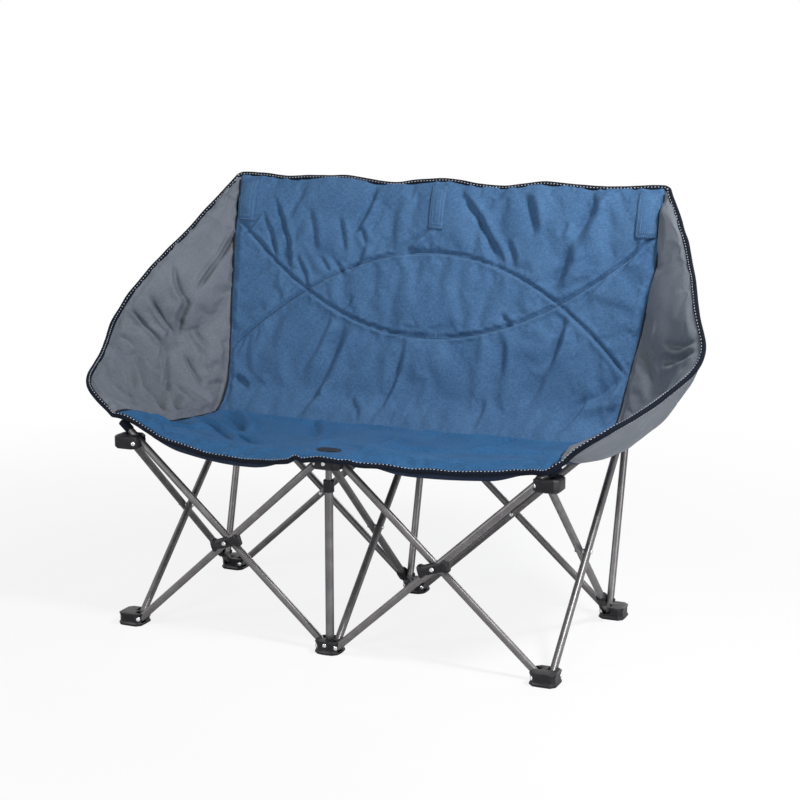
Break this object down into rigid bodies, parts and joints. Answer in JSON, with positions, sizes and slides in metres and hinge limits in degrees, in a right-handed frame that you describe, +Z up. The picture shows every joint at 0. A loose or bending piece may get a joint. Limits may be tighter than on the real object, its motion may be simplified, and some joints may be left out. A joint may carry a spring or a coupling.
{
  "type": "folding camping loveseat",
  "caption": "Wide two-place folding camp seat: scissor-braced steel tube frame with moulded joints, leaning back posts and a padded fabric tub with a quilted back and raised arms.",
  "frame": {"origin": "on the ground under the middle of the whole object", "axes": "+X to the right of the front view, +Y towards the back, +Z up"},
  "size_m": [1.4056, 0.6764, 0.9471],
  "materials": {
    "tube_steel": "satin gunmetal powder coat",
    "black_plastic": "moulded matte black",
    "rivet_steel": "bright zinc",
    "blue_fabric": "woven polyester, padded",
    "grey_fabric": "woven polyester, padded",
    "black_webbing": "woven webbing"
  },
  "bodies": {
    "hub": {"front_hub": "black_plastic", "centre_post_inner": "tube_steel", "seat_plate": "black_plastic", "seat_edge": "blue_fabric"},
    "front_link_left": {"front_tube_left_to_hub": "tube_steel", "front_rivet_left": "rivet_steel", "crossing_bracket_left": "black_plastic"},
    "front_link_right": {"front_tube_right_to_hub": "tube_steel", "front_rivet_right": "rivet_steel"},
    "corner_link_left": {"front_tube_centre_to_left": "tube_steel", "corner_cup_left": "black_webbing"},
    "corner_link_right": {"front_tube_centre_to_right": "tube_steel", "corner_cup_right": "black_webbing", "crossing_bracket_right": "black_plastic"},
    "corner_left": {"corner_block_left": "black_plastic"},
    "corner_right": {"corner_block_right": "black_plastic"},
    "base_front_left": {"foot_front_left": "black_plastic"},
    "base_front_right": {"foot_front_right": "black_plastic"},
    "base_front_centre": {"foot_front_centre": "black_plastic", "centre_post_lower": "tube_steel", "centre_post_bush": "black_plastic"},
    "seat_front_strip": {"seat_front": "blue_fabric"},
    "seat_rear_strip": {"seat_rear": "blue_fabric"},
    "side_rising_left": {"side_tube_left_rising": "tube_steel"},
    "side_falling_left": {"side_tube_left_falling": "tube_steel", "post_collar_left": "black_plastic", "side_rivet_left": "rivet_steel"},
    "base_rear_left": {"foot_rear_left": "black_plastic"},
    "sleeve_left": {"rear_sleeve_left": "black_plastic"},
    "post_left": {"back_post_left": "tube_steel"},
    "arm_cover_left": {"arm_left": "grey_fabric"},
    "side_rising_centre": {"side_tube_centre_rising": "tube_steel"},
    "side_falling_centre": {"side_tube_centre_falling": "tube_steel", "post_collar_centre": "black_plastic", "side_rivet_centre": "rivet_steel"},
    "base_rear_centre": {"foot_rear_centre": "black_plastic"},
    "sleeve_centre": {"rear_sleeve_centre": "black_plastic"},
    "post_centre": {"back_post_centre": "tube_steel"},
    "back_cover": {"back_panel": "blue_fabric"},
    "side_rising_right": {"side_tube_right_rising": "tube_steel"},
    "side_falling_right": {"side_tube_right_falling": "tube_steel", "post_collar_right": "black_plastic", "side_rivet_right": "rivet_steel"},
    "base_rear_right": {"foot_rear_right": "black_plastic"},
    "sleeve_right": {"rear_sleeve_right": "black_plastic"},
    "post_right": {"back_post_right": "tube_steel"},
    "arm_cover_right": {"arm_right": "grey_fabric"},
    "rear_link_left_to_centre": {"rear_tube_left_to_centre": "tube_steel", "rear_rivet_left": "rivet_steel"},
    "rear_link_centre_to_left": {"rear_tube_centre_to_left": "tube_steel"},
    "rear_link_centre_to_right": {"rear_tube_centre_to_right": "tube_steel"},
    "rear_link_right_to_centre": {"rear_tube_right_to_centre": "tube_steel", "rear_rivet_right": "rivet_steel"}
  },
  "joints": [
    {"name": "fold", "type": "hinge", "parent": "hub", "child": "front_link_left", "pos_m": [-0.022, -0.3072, 0.412], "axis": [0, -1, 0], "range_deg": [0, 42.75], "deforming": ["back_panel", "arm_left", "arm_right", "seat_edge", "seat_front", "seat_rear"]},
    {"name": "front_right_top", "type": "hinge", "parent": "hub", "child": "front_link_right", "pos_m": [0.022, -0.2892, 0.412], "axis": [0, 1, 0], "range_deg": [0, 42.75]},
    {"name": "front_left_crossing", "type": "hinge", "parent": "front_link_left", "child": "corner_link_left", "pos_m": [-0.24, -0.2982, 0.214], "axis": [0, 1, 0], "range_deg": [0, 85.5]},
    {"name": "front_left_foot", "type": "hinge", "parent": "front_link_left", "child": "base_front_left", "pos_m": [-0.458, -0.3072, 0.016], "axis": [0, 1, 0], "range_deg": [0, 42.75]},
    {"name": "corner_left_top", "type": "hinge", "parent": "corner_link_left", "child": "corner_left", "pos_m": [-0.458, -0.2892, 0.412], "axis": [0, -1, 0], "range_deg": [0, 42.75]},
    {"name": "front_centre_foot", "type": "hinge", "parent": "corner_link_left", "child": "base_front_centre", "pos_m": [-0.022, -0.2892, 0.016], "axis": [0, -1, 0], "range_deg": [0, 42.75]},
    {"name": "front_right_crossing", "type": "hinge", "parent": "front_link_right", "child": "corner_link_right", "pos_m": [0.24, -0.2982, 0.214], "axis": [0, -1, 0], "range_deg": [0, 85.5]},
    {"name": "front_right_foot", "type": "hinge", "parent": "front_link_right", "child": "base_front_right", "pos_m": [0.458, -0.2892, 0.016], "axis": [0, -1, 0], "range_deg": [0, 42.75]},
    {"name": "corner_right_top", "type": "hinge", "parent": "corner_link_right", "child": "corner_right", "pos_m": [0.458, -0.3072, 0.412], "axis": [0, 1, 0], "range_deg": [0, 42.75]},
    {"name": "side_left_foot", "type": "hinge", "parent": "base_front_left", "child": "side_rising_left", "pos_m": [-0.471, -0.2822, 0.016], "axis": [1, 0, 0], "range_deg": [0, 42.75]},
    {"name": "side_left_crossing", "type": "hinge", "parent": "side_rising_left", "child": "side_falling_left", "pos_m": [-0.48, -0.0642, 0.214], "axis": [-1, 0, 0], "range_deg": [0, 85.5]},
    {"name": "rear_left_foot", "type": "hinge", "parent": "side_falling_left", "child": "base_rear_left", "pos_m": [-0.489, 0.1538, 0.016], "axis": [1, 0, 0], "range_deg": [0, 42.75]},
    {"name": "sleeve_left_top", "type": "hinge", "parent": "side_rising_left", "child": "sleeve_left", "pos_m": [-0.471, 0.1538, 0.412], "axis": [-1, 0, 0], "range_deg": [0, 42.75]},
    {"name": "post_left_collar", "type": "hinge", "parent": "side_falling_left", "child": "post_left", "pos_m": [-0.471, 0.10938, 0.05634], "axis": [1, 0, 0], "range_deg": [0, 51.46]},
    {"name": "side_centre_top", "type": "hinge", "parent": "hub", "child": "side_falling_centre", "pos_m": [-0.009, -0.2822, 0.412], "axis": [-1, 0, 0], "range_deg": [0, 42.75]},
    {"name": "side_centre_crossing", "type": "hinge", "parent": "side_falling_centre", "child": "side_rising_centre", "pos_m": [0, -0.0642, 0.214], "axis": [1, 0, 0], "range_deg": [0, 85.5]},
    {"name": "rear_centre_foot", "type": "hinge", "parent": "side_falling_centre", "child": "base_rear_centre", "pos_m": [-0.009, 0.1538, 0.016], "axis": [1, 0, 0], "range_deg": [0, 42.75]},
    {"name": "sleeve_centre_top", "type": "hinge", "parent": "side_rising_centre", "child": "sleeve_centre", "pos_m": [0.009, 0.1538, 0.412], "axis": [-1, 0, 0], "range_deg": [0, 42.75]},
    {"name": "post_centre_collar", "type": "hinge", "parent": "side_falling_centre", "child": "post_centre", "pos_m": [0.009, 0.10938, 0.05634], "axis": [1, 0, 0], "range_deg": [0, 51.46]},
    {"name": "side_right_foot", "type": "hinge", "parent": "base_front_right", "child": "side_rising_right", "pos_m": [0.489, -0.2822, 0.016], "axis": [1, 0, 0], "range_deg": [0, 42.75]},
    {"name": "side_right_crossing", "type": "hinge", "parent": "side_rising_right", "child": "side_falling_right", "pos_m": [0.48, -0.0642, 0.214], "axis": [-1, 0, 0], "range_deg": [0, 85.5]},
    {"name": "rear_right_foot", "type": "hinge", "parent": "side_falling_right", "child": "base_rear_right", "pos_m": [0.471, 0.1538, 0.016], "axis": [1, 0, 0], "range_deg": [0, 42.75]},
    {"name": "sleeve_right_top", "type": "hinge", "parent": "side_rising_right", "child": "sleeve_right", "pos_m": [0.489, 0.1538, 0.412], "axis": [-1, 0, 0], "range_deg": [0, 42.75]},
    {"name": "post_right_collar", "type": "hinge", "parent": "side_falling_right", "child": "post_right", "pos_m": [0.489, 0.10938, 0.05634], "axis": [1, 0, 0], "range_deg": [0, 51.46]},
    {"name": "rear_left_to_centre_foot", "type": "hinge", "parent": "base_rear_left", "child": "rear_link_left_to_centre", "pos_m": [-0.458, 0.1568, 0.016], "axis": [0, -1, 0], "range_deg": [0, 42.75]},
    {"name": "rear_centre_to_left_foot", "type": "hinge", "parent": "base_rear_centre", "child": "rear_link_centre_to_left", "pos_m": [-0.022, 0.1748, 0.016], "axis": [0, 1, 0], "range_deg": [0, 42.75]},
    {"name": "rear_centre_to_right_foot", "type": "hinge", "parent": "base_rear_centre", "child": "rear_link_centre_to_right", "pos_m": [0.022, 0.1568, 0.016], "axis": [0, -1, 0], "range_deg": [0, 42.75]},
    {"name": "rear_right_to_centre_foot", "type": "hinge", "parent": "base_rear_right", "child": "rear_link_right_to_centre", "pos_m": [0.458, 0.1748, 0.016], "axis": [0, 1, 0], "range_deg": [0, 42.75]},
    {"name": "back_cover_top", "type": "hinge", "parent": "post_centre", "child": "back_cover", "pos_m": [0, 0.3224, 0.946], "axis": [-1, 0, 0], "range_deg": [0, 10.43]},
    {"name": "arm_cover_left_top", "type": "hinge", "parent": "post_left", "child": "arm_cover_left", "pos_m": [-0.48, 0.3224, 0.946], "axis": [-1, 0, 0], "range_deg": [0, 10.43]},
    {"name": "arm_cover_right_top", "type": "hinge", "parent": "post_right", "child": "arm_cover_right", "pos_m": [0.48, 0.3224, 0.946], "axis": [-1, 0, 0], "range_deg": [0, 10.43]},
    {"name": "seat_front_hinge", "type": "hinge", "parent": "hub", "child": "seat_front_strip", "pos_m": [0, -0.2742, 0.4313], "axis": [1, 0, 0], "range_deg": [0, 124.32]},
    {"name": "seat_rear_crease", "type": "hinge", "parent": "back_cover", "child": "seat_rear_strip", "pos_m": [0, 0.079, 0.396], "axis": [-1, 0, 0], "range_deg": [0, 106.87]}
  ],
  "couplings": [
    {"joint": "front_right_top", "follows": "fold", "ratio": 1},
    {"joint": "front_left_crossing", "follows": "fold", "ratio": 2},
    {"joint": "front_left_foot", "follows": "fold", "ratio": 1},
    {"joint": "corner_left_top", "follows": "fold", "ratio": 1},
    {"joint": "front_centre_foot", "follows": "fold", "ratio": 1},
    {"joint": "front_right_crossing", "follows": "fold", "ratio": 2},
    {"joint": "front_right_foot", "follows": "fold", "ratio": 1},
    {"joint": "corner_right_top", "follows": "fold", "ratio": 1},
    {"joint": "side_left_foot", "follows": "fold", "ratio": 1},
    {"joint": "side_left_crossing", "follows": "fold", "ratio": 2},
    {"joint": "rear_left_foot", "follows": "fold", "ratio": 1},
    {"joint": "sleeve_left_top", "follows": "fold", "ratio": 1},
    {"joint": "post_left_collar", "follows": "fold", "ratio": 1.2038},
    {"joint": "side_centre_top", "follows": "fold", "ratio": 1},
    {"joint": "side_centre_crossing", "follows": "fold", "ratio": 2},
    {"joint": "rear_centre_foot", "follows": "fold", "ratio": 1},
    {"joint": "sleeve_centre_top", "follows": "fold", "ratio": 1},
    {"joint": "post_centre_collar", "follows": "fold", "ratio": 1.2038},
    {"joint": "side_right_foot", "follows": "fold", "ratio": 1},
    {"joint": "side_right_crossing", "follows": "fold", "ratio": 2},
    {"joint": "rear_right_foot", "follows": "fold", "ratio": 1},
    {"joint": "sleeve_right_top", "follows": "fold", "ratio": 1},
    {"joint": "post_right_collar", "follows": "fold", "ratio": 1.2038},
    {"joint": "rear_left_to_centre_foot", "follows": "fold", "ratio": 1},
    {"joint": "rear_centre_to_left_foot", "follows": "fold", "ratio": 1},
    {"joint": "rear_centre_to_right_foot", "follows": "fold", "ratio": 1},
    {"joint": "rear_right_to_centre_foot", "follows": "fold", "ratio": 1},
    {"joint": "back_cover_top", "follows": "fold", "ratio": 0.24389},
    {"joint": "arm_cover_left_top", "follows": "fold", "ratio": 0.24389},
    {"joint": "arm_cover_right_top", "follows": "fold", "ratio": 0.24389},
    {"joint": "seat_front_hinge", "follows": "fold", "ratio": 2.9079},
    {"joint": "seat_rear_crease", "follows": "fold", "ratio": 2.4997}
  ]
}
